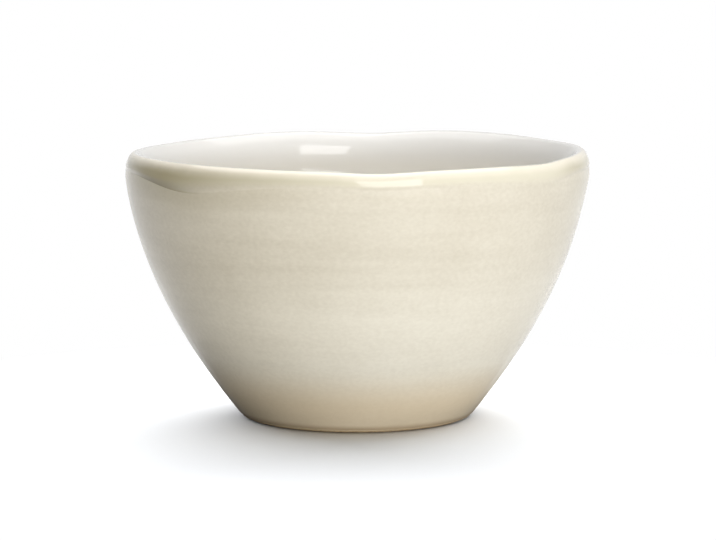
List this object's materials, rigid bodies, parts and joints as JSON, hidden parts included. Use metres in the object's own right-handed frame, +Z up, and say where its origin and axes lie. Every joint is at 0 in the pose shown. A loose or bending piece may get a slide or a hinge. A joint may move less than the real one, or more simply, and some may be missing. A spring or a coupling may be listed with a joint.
{
  "type": "prep bowl",
  "caption": "Small round hand-formed glazed ceramic bowl with a white lining, sand-coloured outside, uneven rolled lip and bare foot ring, for holding measured ingredients.",
  "frame": {"origin": "on the table, at the centre of the foot ring", "axes": "+Z up along the bowl's axis of turning; -Y faces the viewer of the picture, +X to the viewer's right"},
  "size_m": [0.1196, 0.1196, 0.0695],
  "materials": {
    "bare_stoneware": "matte, fired and unglazed",
    "white_glaze": "glossy white glaze",
    "sand_glaze": "glossy translucent sand glaze with level brush marks",
    "rim_glaze": "glossy, thicker olive-cream glaze that breaks to cream on the crest"
  },
  "bodies": {
    "root": {"clay_body": "bare_stoneware", "foot_ring": "bare_stoneware", "inner_glaze": "white_glaze", "outer_glaze": "sand_glaze", "rim_glaze": "rim_glaze", "base_glaze": "sand_glaze"}
  },
  "joints": []
}
